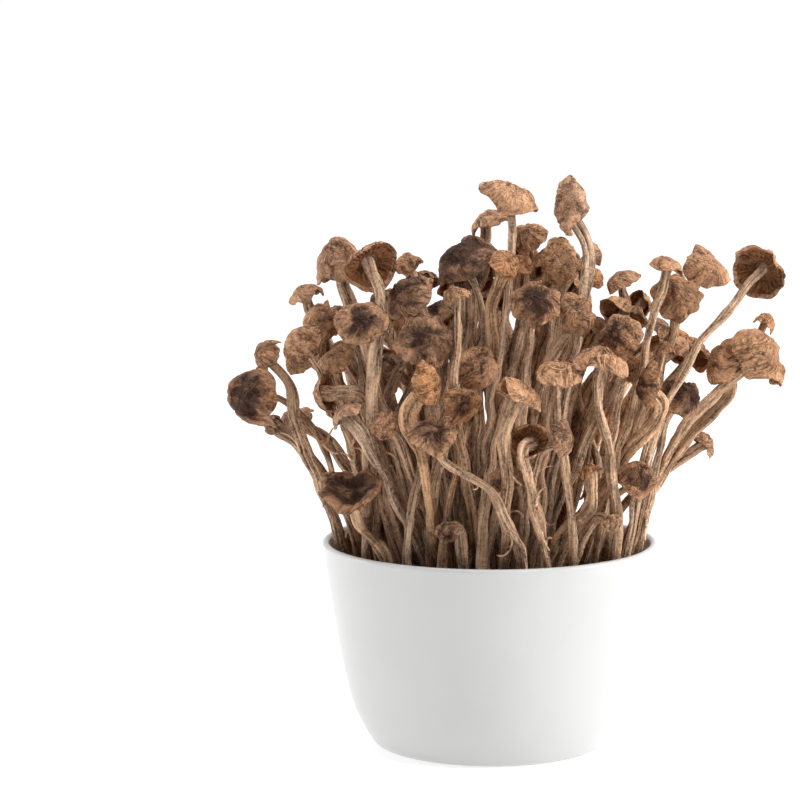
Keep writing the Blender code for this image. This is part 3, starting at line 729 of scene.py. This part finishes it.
def stem_rows(m, draw):
    """The stem's grid from the neck down, and its values for the materials.

    Each ring is the radius times the section, with knots where slow noise swells it and a flare
    towards the cap. At the very top it blends into a plain circle, which the cap joins.
    """
    path, radii, at = stem_path(m)
    first = finer_ring(m["gills"], STEM_SIDES)[0] - path[0]
    plane = frames_along(path, first)
    seed = int(draw.randint(1, 9999))
    where = np.stack([at / SLOW_LENGTH, 0 * at, 0 * at], axis=1) + draw.uniform(-FAR_SIDE, FAR_SIDE, 3)
    form, cut, fibre = stem_section(at, where, seed, draw)
    knots_out = 1 + KNOTS_OUT * (noise(where, 0.35, seed + 3) - 0.5)
    near_cap = 1 - ease(at, 0.0, FLARE_LENGTH)
    shape = (form + cut + FIBRE_DEPTH * (fibre - 0.5)) * knots_out[:, None]
    blend = ease(at, 0.0, BLEND_LENGTH)[:, None]
    size = SHRUNK * (radii * (1 + FLARE * near_cap))[:, None] * ((1 - blend) + blend * shape)
    around = rings_in(plane, STEM_ANGLE)
    bruises = BRUISE * (noise(where, 0.6, seed + 4) > BRUISE_LEVEL)
    # Painted shade, full below 56 mm and gone at 109 mm, towards the rim of the bowl
    shade = RIM_SHADE * (1 - ease(path[:, 2], SHADE_FROM, SHADE_TO))
    skin = about_axis(SKIN_RING, STEM_ANGLE, at[:, None] / SKIN_LENGTH)
    values = {
        "dark": (bruises + CAP_SHADE * near_cap + shade)[:, None] * np.ones(size.shape),
        # Painted shade: darker in the stem's furrows and between its fibres
        "relief": np.clip(0.55 + 1.5 * cut + 0.45 * (fibre - 0.5) + 0.25 * (form - 1), 0, 1),
        "warm": np.full(size.shape, m["look"]["warm"]),
        "pale": np.full(size.shape, np.clip(0.25 + 0.6 * m["stem_pale"], 0, 1)),
        "skin": skin + draw.uniform(-FAR_SIDE, FAR_SIDE, 3),
    }
    return path[:, None] + size[:, :, None] * around, values


# %% [markdown]
# ## Loose fibres
# Here and there a strip of fibre has split off a stem and curled as it dried. Each is a thin
# tube that starts inside the stem, runs along it, bends away and tapers to a point. Few of them
# are needed: they break the clean outline of the stems.

# %% Loose fibre
STRAND_SIDES, STRAND_ROWS, FEWEST_ROWS = 5, 12, 4
# Where a fibre may split off, by its height, and how far below the cap it has to be.
STRAND_HEIGHTS, STRAND_BELOW = (74.0, 128.0), 20.0
STRAND_LENGTH, STRAND_THICK, STRAND_TIP = (5.0, 13.0), (0.55, 0.95), 0.06
STRAND_START, STRAND_TURN, STRAND_SWING = 0.35, (0.6, 2.6), 1.2
STRAND_FLAT, STRAND_INSIDE = 0.45, 0.45
STRAND_SCALE = 4.0
CAP_SLOT, GILL_SLOT, STEM_SLOT = range(3)


def strand_path(m, draw):
    """Centres of one loose fibre and a direction to its side, or None where the stem is too low.

    Its direction turns from along the stem towards one side of it, by an angle that grows with
    the square of the way along, and the path is the running sum of those directions.
    """
    path, radii, below_cap = stem_path(m)
    tangents = unit(np.gradient(path, axis=0))
    (lowest, highest), height = STRAND_HEIGHTS, path[:, 2]
    fits = (height > lowest) & (height < highest) & (below_cap > STRAND_BELOW)
    if fits.sum() < FEWEST_ROWS:
        return None
    row = draw.choice(np.flatnonzero(fits))
    along = tangents[row] * draw.choice([-1, 1])
    off = unit(np.cross(along, draw.normal(size=3)))
    off = off * (1 if off[1] < 0 else -1)
    aside = np.cross(along, off)
    s = np.linspace(0, 1, STRAND_ROWS)
    turn = STRAND_START + draw.uniform(*STRAND_TURN) * s**2
    swing = draw.uniform(-STRAND_SWING, STRAND_SWING) * s
    way = np.cos(turn)[:, None] * along + np.sin(turn)[:, None] * off + np.sin(swing)[:, None] * aside
    length = draw.uniform(*STRAND_LENGTH)
    start = path[row] + off * radii[row] * STRAND_INSIDE
    return start + np.cumsum(unit(way) * length / STRAND_ROWS, axis=0), aside


def strand_arrays(m, draw):
    """Points, faces, material numbers and values of one loose fibre.

    It is a flat tube round its path, and its thickness falls with the root of what is left.
    """
    found = strand_path(m, draw)
    if found is None:
        return None
    middle, aside = found
    ring = rings_in(frames_along(middle, aside), even_angles(STRAND_SIDES), STRAND_FLAT)
    left = 1 - np.linspace(0, 1, STRAND_ROWS)
    thick = draw.uniform(*STRAND_THICK) * left**0.5 + STRAND_TIP
    rows = middle[:, None] + thick[:, None, None] * ring
    points = np.concatenate([rows.reshape(-1, 3), middle[:1], middle[-1:]])
    faces = outward(points, closed_faces(STRAND_ROWS, STRAND_SIDES))
    values = {"dark": 0.0, "relief": 0.9, "warm": m["look"]["warm"], "pale": 0.9}
    values = {key: np.full(len(points), value) for key, value in values.items()}
    values["skin"] = points / STRAND_SCALE
    return points, faces, np.full(sum(len(f) for f in faces), STEM_SLOT), values


print("a loose fibre has", STRAND_ROWS, "rows of", STRAND_SIDES, "points")

# %% [markdown]
# ## One skin for each mushroom
# The cap has three points round it for each one round the stem. Where they meet, every stem
# point takes a fan of three cap points, so the skin has no gap and no hidden wall inside.


# %% Join cap and stem
def join_faces(cap_ring, stem_ring):
    """Triangles between a ring and one with a third as many points."""
    n = len(stem_ring)
    j = np.arange(n)
    after = stem_ring[(j + 1) % n]
    g = [cap_ring[(3 * j + k) % (3 * n)] for k in range(4)]
    parts = [(g[0], g[1], stem_ring), (g[1], after, stem_ring), (g[1], g[2], after), (g[2], g[3], after)]
    return np.concatenate([np.stack(p, axis=1) for p in parts])


def together(cap, stem):
    """Both grids in one array, followed by one entry each for the crown's pole and the foot's.

    The cap's first row lies round the pole, so the row's mean takes its place.
    """
    shape = (-1, 3) if cap.ndim == 3 else (-1,)
    ends = [cap[:1].mean(axis=1), stem[-1:].mean(axis=1)]
    return np.concatenate([cap[1:].reshape(shape), stem.reshape(shape), *ends])


def mushroom_arrays(m, draw):
    """Points, faces, material numbers and values of one closed mushroom."""
    stem, stem_values = stem_rows(m, draw)
    cap, found = cap_rows(m, finer_ring(stem[0], CAP_SIDES), draw)
    points = together(cap, stem)
    values = {key: together(found[key], stem_values[key]) for key in found}
    rows = len(cap) - 1
    stem_start = rows * CAP_SIDES
    pole = stem_start + len(stem) * STEM_SIDES
    cap_faces = grid_faces(rows, CAP_SIDES)
    stem_faces = grid_faces(len(stem), STEM_SIDES, stem_start)
    joint = join_faces(stem_start - CAP_SIDES + np.arange(CAP_SIDES), stem_start + np.arange(STEM_SIDES))
    crown = fan_faces(np.arange(CAP_SIDES)[::-1], pole)
    foot = fan_faces(pole - STEM_SIDES + np.arange(STEM_SIDES), pole + 1)
    below_lip = np.arange(len(cap_faces)) // CAP_SIDES >= INNER_LIP - 1
    slots = [
        np.where(below_lip, GILL_SLOT, CAP_SLOT),
        np.full(len(stem_faces) + len(joint), STEM_SLOT),
        np.full(len(crown), CAP_SLOT),
        np.full(len(foot), STEM_SLOT),
    ]
    return points, outward(points, [cap_faces, stem_faces, joint, crown, foot]), np.concatenate(slots), values


print(len(join_faces(np.arange(CAP_SIDES), np.arange(STEM_SIDES))), "triangles join a cap to its stem")

# %% [markdown]
# ## Finishes
# Three skins share one effect: patches and fine grit that vary the skin's own tone, creases and
# the relief that paint shade into the furrows and hollows, and creases and grit that roughen the
# surface. It is a node group with its own inputs, placed in each material with its own values.


# %% Shader helpers
def feed(tree, node, inputs):
    """Join each input, by its name or number, to a socket, or give it a plain value."""
    for key, value in inputs.items():
        if isinstance(value, bpy.types.NodeSocket):
            tree.links.new(value, node.inputs[key])
        else:
            node.inputs[key].default_value = value


def add(tree, kind, inputs=None, **settings):
    """A new node with its settings and its inputs."""
    node = tree.nodes.new(kind)
    for key, value in settings.items():
        setattr(node, key, value)
    feed(tree, node, inputs or {})
    return node


def mixed(tree, factor, a, b, blend="MIX"):
    """A mix of two colours. The node's inputs 0, 6 and 7 are its factor and its colours."""
    return add(tree, "ShaderNodeMix", {0: factor, 6: a, 7: b}, data_type="RGBA", blend_type=blend).outputs[2]


def ranged(tree, value, low, high):
    """A value from 0 to 1 carried over to the range from low to high."""
    return add(tree, "ShaderNodeMapRange", {"Value": value, "To Min": low, "To Max": high}).outputs["Result"]


def raised(tree, height, strength, distance):
    """A normal for small relief, distance metres high where the height is 1."""
    inputs = {"Height": height, "Strength": strength, "Distance": distance}
    return add(tree, "ShaderNodeBump", inputs).outputs["Normal"]


def new_material(name):
    """A material, its node tree and its Principled shader."""
    material = bpy.data.materials.new(name)
    material.use_nodes = True
    return material, material.node_tree, material.node_tree.nodes["Principled BSDF"]


def srgb(r, g, b):
    """A colour given as it looks on a screen, from 0 to 255, as the linear light that shaders use."""
    c = np.array([r, g, b]) / 255
    linear = np.where(c <= 0.04045, c / 12.92, ((c + 0.055) / 1.055) ** 2.4)
    return (*[float(v) for v in linear], 1.0)


print("mid grey in linear light", round(srgb(128, 128, 128)[0], 3))

# %% Dried skin as a node group
GRIT_SCALE = 1100.0
PATCH_SHARE, CREASE_SHARE, RELIEF_SHARE, GRIT_SHARE = 0.24, 0.34, 0.36, 0.30
VECTORS_IN, NUMBERS_IN = ("Coordinates", "Place"), ("Patch Scale", "Crease Scale", "Relief")


def grain_group():
    """Patches, creases and relief blended into one shade, and creases and grit into one height.

    A crease lies where a noise crosses its middle: |2n - 1|, made steeper and clipped at 1, is
    0 in the crease and 1 on the skin between. Where half of the patch is larger, that is taken,
    so the creases come and go as they do on real skin. The shade is the sum of patch, crease,
    relief and grit, each times its share, less a little and then made steeper. Patch and grit are
    the skin's own tone; crease and relief paint shade into the creases and hollows.
    """
    group = bpy.data.node_groups.new("dried skin", "ShaderNodeTree")
    for name in VECTORS_IN:
        group.interface.new_socket(name, in_out="INPUT", socket_type="NodeSocketVector")
    for name in NUMBERS_IN:
        group.interface.new_socket(name, in_out="INPUT", socket_type="NodeSocketFloat")
    for name in ("Shade", "Height"):
        group.interface.new_socket(name, in_out="OUTPUT", socket_type="NodeSocketFloat")
    inside = add(group, "NodeGroupInput").outputs

    def sampled(where, scale, detail):
        inputs = {"Vector": inside[where], "Scale": scale, "Detail": detail}
        return add(group, "ShaderNodeTexNoise", inputs).outputs["Fac"]

    def worked(operation, *values, clamp=False):
        node = add(group, "ShaderNodeMath", dict(enumerate(values)), operation=operation, use_clamp=clamp)
        return node.outputs[0]

    patch = sampled("Coordinates", inside["Patch Scale"], 3.0)
    crease_noise = sampled("Coordinates", inside["Crease Scale"], 2.0)
    grit = sampled("Place", GRIT_SCALE, 2.0)
    grit = worked("MULTIPLY_ADD", grit, 2.2, -0.6, clamp=True)
    patch = worked("MULTIPLY_ADD", patch, 3.2, -1.1, clamp=True)
    crease = worked("ABSOLUTE", worked("MULTIPLY_ADD", crease_noise, 2.0, -1.0))
    crease = worked("MULTIPLY", crease, 3.6, clamp=True)
    crease = worked("MAXIMUM", crease, worked("MULTIPLY", patch, 0.5))
    # Painted shade: the crease and the relief darken the creases and hollows; patch and grit are the skin's
    # own tone
    shade = worked("MULTIPLY_ADD", patch, PATCH_SHARE, worked("MULTIPLY", crease, CREASE_SHARE))
    shade = worked("MULTIPLY_ADD", inside["Relief"], RELIEF_SHARE, shade)
    shade = worked("MULTIPLY_ADD", grit, GRIT_SHARE, worked("SUBTRACT", shade, 0.08))
    shade = worked("MULTIPLY_ADD", shade, 1.25, -0.10, clamp=True)
    height = worked("MULTIPLY_ADD", grit, 0.5, worked("MULTIPLY", crease, 0.7))
    add(group, "NodeGroupOutput", {"Shade": shade, "Height": height})
    return group


GRAIN = grain_group()
print("node group", GRAIN.name, "with", len(GRAIN.nodes), "nodes")

# %% Dried skin as a material
# Painted shade: the ramp, at the share FURROW_SHADE, darkens the furrows once more
RAMP = ((0.15, (0.22, 0.18, 0.16, 1)), (0.62, (1, 1, 1, 1)))
BUMP_DEPTH = 1.1 * MM
FURROW_SHADE = 0.55
DRY_SHINE = 0.18


def attribute(tree, name, output="Fac"):
    return add(tree, "ShaderNodeAttribute", attribute_name=name).outputs[output]


def colour_ramp(tree, factor):
    """Painted shade: from a fifth of full brightness in the furrows to all of it on the crests."""
    node = add(tree, "ShaderNodeValToRGB", {"Fac": factor})
    for element, (position, colour) in zip(node.color_ramp.elements, RAMP):
        element.position, element.color = position, colour
    return node.outputs["Color"]


def dried_material(name, furrow, crest, warm, pale, dark, scales, bump, rough):
    """A dry, matt skin: furrow to crest by shade, then warmed, paled and darkened by place.

    The shade is part tone and part painted shade in the creases and hollows. The last multiply, by
    the ramp, paints more shade into the furrows, and they are rougher than the crests. scales are
    those of the patches and of the creases.
    """
    material, tree, shader = new_material(name)
    inputs = {
        "Coordinates": attribute(tree, "skin", "Vector"),
        "Place": add(tree, "ShaderNodeTexCoord").outputs["Object"],
        "Patch Scale": scales[0],
        "Crease Scale": scales[1],
        "Relief": attribute(tree, "relief"),
    }
    shade, height = add(tree, "ShaderNodeGroup", inputs, node_tree=GRAIN).outputs
    # Furrow to crest by the shade: the skin's own tone, with painted shade in the creases and hollows
    colour = mixed(tree, shade, furrow, crest)
    colour = mixed(tree, attribute(tree, "warm"), colour, warm, "MULTIPLY")
    # pale holds the skin's own paleness and, on caps, a painted highlight at the margin
    colour = mixed(tree, attribute(tree, "pale"), colour, pale, "SCREEN")
    # dark holds the crowns' and bruises' own dark and, on stems, painted shade under the cap and towards the
    # rim
    colour = mixed(tree, attribute(tree, "dark"), colour, dark)
    # Painted shade, deepening the furrows once more
    colour = mixed(tree, FURROW_SHADE, colour, colour_ramp(tree, shade), "MULTIPLY")
    looks = {
        "Base Color": colour,
        "Roughness": ranged(tree, shade, rough + 0.12, rough - 0.10),
        "Normal": raised(tree, height, bump, BUMP_DEPTH),
        "Specular IOR Level": DRY_SHINE,
    }
    feed(tree, shader, looks)
    return material


# %% Three skins
# Each skin's furrow colour shows in its creases and hollows, where it is partly painted shade
CAP_SKIN = dried_material(
    "cap skin",
    furrow=srgb(60, 28, 14),
    crest=srgb(232, 184, 150),
    warm=srgb(255, 222, 170),
    pale=srgb(86, 72, 60),
    dark=srgb(54, 31, 25),
    scales=(1.2, 3.0),
    bump=0.90,
    rough=0.72,
)
GILL_SKIN = dried_material(
    "gills",
    furrow=srgb(60, 30, 16),
    crest=srgb(158, 112, 78),
    warm=srgb(255, 220, 172),
    pale=srgb(48, 38, 28),
    dark=srgb(50, 28, 20),
    scales=(1.6, 3.0),
    bump=0.6,
    rough=0.80,
)
STEM_SKIN = dried_material(
    "stem fibre",
    furrow=srgb(58, 30, 17),
    crest=srgb(252, 215, 184),
    warm=srgb(255, 232, 200),
    pale=srgb(60, 54, 46),
    dark=srgb(74, 46, 32),
    scales=(0.8, 1.5),
    bump=0.85,
    rough=0.74,
)
# In the order of CAP_SLOT, GILL_SLOT and STEM_SLOT.
SKINS = [CAP_SKIN, GILL_SKIN, STEM_SKIN]
print([skin.name for skin in SKINS])

# %% [markdown]
# ## Build the bunch
# Each solid gets one piece in its place. Mushrooms that share a foot stay together, and so do
# the loose fibres of their stems.

# %% Mushroom pieces
# Mushrooms on one foot lean apart, so each stem ends a little way out from its middle.
TWIN_STEP = 0.9
STRAND_CHANCE = 0.38
MOST_STRANDS = 3


def bunch_piece(number, node, found):
    """One piece for all the mushrooms of a solid and their loose fibres.

    The mushrooms and the fibres have a generator each, both seeded by the solid's number.
    """
    draw = np.random.RandomState(SEED * 1000 + number)
    strand_draw = np.random.RandomState(SEED * 2000 + number)
    made = []
    for m in found:
        m["look"] = look_of(m["pole"], m["margin"], draw)
        m["stem_pale"] = draw.uniform()
        lean = (m["centres"][-1] - m["foot"]) * np.array([1, 1, 0])
        m["foot_spot"] = m["foot"] + (unit(lean) * TWIN_STEP if len(found) > 1 else 0)
        made.append(mushroom_arrays(m, draw))
        if strand_draw.uniform() < STRAND_CHANCE:
            count = strand_draw.randint(1, MOST_STRANDS + 1)
            made += [strand_arrays(m, strand_draw) for _ in range(count)]
    points, faces, slots, values = zip(*filter(None, made))
    starts = np.cumsum([0] + [len(p) for p in points])
    faces = [f + start for part, start in zip(faces, starts) for f in part]
    values = {key: np.concatenate([v[key] for v in values]) for key in values[0]}
    return mesh_piece(f"dried_{node}", np.concatenate(points), faces, SKINS, np.concatenate(slots), values)


face_total = 0
for number, (node, found) in enumerate(bunch.items()):
    thing = bunch_piece(number, node, found)
    face_total += len(thing.data.loops) - 2 * len(thing.data.polygons)
    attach(thing, "root")
    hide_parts(node)
print(len(bunch), "pieces with", face_total, "triangles")

# %% [markdown]
# ## The bowl
# A plain turned bowl of glazed white porcelain. It is one profile carried round a circle: up
# the inside from the middle, over the rounded lip, and down the outside to the foot.

# %% Bowl surface
# The outer wall from the foot to under the rim, as (radius, height) in mm.
BOWL_FOOT = [(37.0, 0.0), (39.4, 0.9), (41.2, 3.2), (44.1, 8.3)]
BOWL_WALL = BOWL_FOOT + [(46.9, 14.4), (49.3, 23.0), (51.8, 35.0), (54.5, 51.0), (57.3, 69.0)]
BOWL_RIM, BOWL_TOP, BOWL_THICK, BOWL_FLOOR = 57.5, 71.0, 2.4, 4.5
BOWL_SIDES, BOWL_STEPS = 144, 4
LIP_ANGLES = np.radians([165, 125, 90, 55, 15])
FLOOR_KNOTS = [(0.0, BOWL_FLOOR), (18.0, BOWL_FLOOR), (36.5, BOWL_FLOOR + 0.15)]
BASE_KNOTS = [(20.0, 0.0), (0.0, 0.0)]


def bowl_piece(material):
    """A smooth curve through the profile's corners, turned about +Z: (r cos a, r sin a, z)."""
    lip = BOWL_THICK / 2
    inside = [(r - BOWL_THICK, z) for r, z in BOWL_WALL if z > BOWL_FLOOR]
    centre, level = BOWL_RIM - lip, BOWL_TOP - lip
    tip = [(centre + lip * math.cos(a), level + lip * math.sin(a)) for a in LIP_ANGLES]
    flat = np.array([*FLOOR_KNOTS, *inside, *tip, *BOWL_WALL[::-1], *BASE_KNOTS])
    knots = np.concatenate([2 * flat[:1] - flat[1:2], flat, 2 * flat[-1:] - flat[-2:-1]])
    profile = np.concatenate([curve(knots, [BOWL_STEPS] * (len(flat) - 1)), flat[-1:]])
    profile[:, 1] = np.maximum(profile[:, 1], 0.0)
    rows = about_axis(profile[1:-1, :1], even_angles(BOWL_SIDES), profile[1:-1, 1:])
    points = np.concatenate([rows.reshape(-1, 3), [[0, 0, BOWL_FLOOR]], [[0, 0, 0]]])
    faces = outward(points, closed_faces(len(rows), BOWL_SIDES))
    return mesh_piece("white_bowl", points, faces, [material])


# %% Glaze
CLOUD_SCALE, RIPPLE_SCALE = 30.0, 140.0
RIPPLE_STRENGTH, RIPPLE_DEPTH = 0.04, 0.2 * MM


def glaze_material():
    """White glaze: a smooth coat over a body that is never quite even in tone or polish."""
    material, tree, shader = new_material("white glaze")
    place = add(tree, "ShaderNodeTexCoord").outputs["Object"]
    cloud = add(tree, "ShaderNodeTexNoise", {"Vector": place, "Scale": CLOUD_SCALE, "Detail": 3.0})
    cloud = cloud.outputs["Fac"]
    ripple = add(tree, "ShaderNodeTexNoise", {"Vector": place, "Scale": RIPPLE_SCALE})
    looks = {
        "Base Color": mixed(tree, cloud, srgb(200, 200, 199), srgb(210, 210, 210)),
        "Roughness": ranged(tree, cloud, 0.30, 0.42),
        "Normal": raised(tree, ripple.outputs["Fac"], RIPPLE_STRENGTH, RIPPLE_DEPTH),
        "Coat Weight": 0.25,
        "Coat Roughness": 0.12,
    }
    feed(tree, shader, looks)
    return material


bowl = bowl_piece(glaze_material())
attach(bowl, "root")
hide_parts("bowl")
print("bowl with", len(bowl.data.polygons), "faces")

# %% [markdown]
# ## Table, light and camera
# The bunch stands on a wide white table that glows a little, in white surroundings. A large
# soft light overhead and a strong one from the right do most of the work, a weaker one from the
# left keeps an edge on the bowl, and a small one in front lifts the caps out of their own
# shade. The camera stands a long way back with a long lens, a little above the rim.

# %% Table
TABLE_REACH = 4.0
TABLE_GLOW = 0.62
WHITE = (1.0, 1.0, 1.0, 1.0)


def table_piece():
    """A flat square of white acrylic that glows a little, so that it takes hardly any shadow."""
    edge = TABLE_REACH / MM
    points = np.array([[-edge, -edge, 0.0], [edge, -edge, 0.0], [edge, edge, 0.0], [-edge, edge, 0.0]])
    material, tree, shader = new_material("white table")
    looks = {
        "Base Color": srgb(190, 190, 190),
        "Roughness": 0.8,
        "Emission Color": WHITE,
        "Emission Strength": TABLE_GLOW,
    }
    feed(tree, shader, looks)
    return mesh_piece("table", points, [np.array([[0, 1, 2, 3]])], [material])


table_piece()
print("table", 2 * TABLE_REACH, "m wide")


# %% Light
MIDDLE = Vector((0.0, 0.0, 0.10))
# Each light's place and size in metres, and its power in watts.
LIGHTS = {
    "top": ((0.05, 0.0, 1.30), (1.2, 1.2), 9.5),
    "key": ((1.28, -0.22, 0.55), (0.6, 0.6), 14.0),
    "left edge": ((-1.20, 0.25, 0.35), (0.5, 0.8), 4.6),
    "front": ((0.45, -0.70, 1.20), (0.2, 0.2), 3.5),
}


def soft_light(name, place, size, power):
    """A rectangular light, turned to face the middle of the bunch."""
    lamp = bpy.data.lights.new(name, "AREA")
    lamp.shape = "RECTANGLE"
    lamp.size, lamp.size_y = size
    lamp.energy = power
    thing = placed(name, lamp)
    thing.location = place
    thing.rotation_euler = (MIDDLE - Vector(place)).to_track_quat("-Z", "Y").to_euler()


for name, (place, size, power) in LIGHTS.items():
    soft_light(name, place, size, power)
    print(name, "light of", power, "watts")

# %% Surroundings
WORLD_FROM, WORLD_TO = (-0.15, 0.25), (0.28, 1.02)


def white_room():
    """Surroundings that are white behind the bunch and grey in front of it.

    The strength runs over the range WORLD_TO while the direction's part along +Y runs over
    WORLD_FROM.
    """
    world = bpy.data.worlds.new("white room")
    world.use_nodes = True
    tree = world.node_tree
    direction = add(tree, "ShaderNodeTexCoord").outputs["Generated"]
    ahead = add(tree, "ShaderNodeSeparateXYZ", {0: direction}).outputs["Y"]
    ends = dict(zip(("From Min", "From Max", "To Min", "To Max"), WORLD_FROM + WORLD_TO))
    strength = add(tree, "ShaderNodeMapRange", {"Value": ahead, **ends}).outputs["Result"]
    feed(tree, tree.nodes["Background"], {"Color": WHITE, "Strength": strength})
    return world


bpy.context.scene.world = white_room()
bpy.context.scene.view_settings.view_transform = "Standard"
print("surroundings from", WORLD_TO[0], "in front to", WORLD_TO[1], "behind")

# %% Camera
DISTANCE = 1.25
ELEVATION = math.radians(8.0)
FRAME_WIDTH = 0.2738
AIM = Vector((-0.0308, 0.0, 0.1194))
lens = bpy.data.cameras.new("camera")
lens.sensor_width = 36.0
lens.lens = lens.sensor_width * DISTANCE / FRAME_WIDTH
camera = placed("camera", lens)
back = Vector((0.0, -math.cos(ELEVATION), math.sin(ELEVATION)))
camera.location = AIM + back * DISTANCE
camera.rotation_euler = (-back).to_track_quat("-Z", "Y").to_euler()
bpy.context.scene.camera = camera
print("camera", DISTANCE, "m away with a lens of", round(lens.lens), "mm")
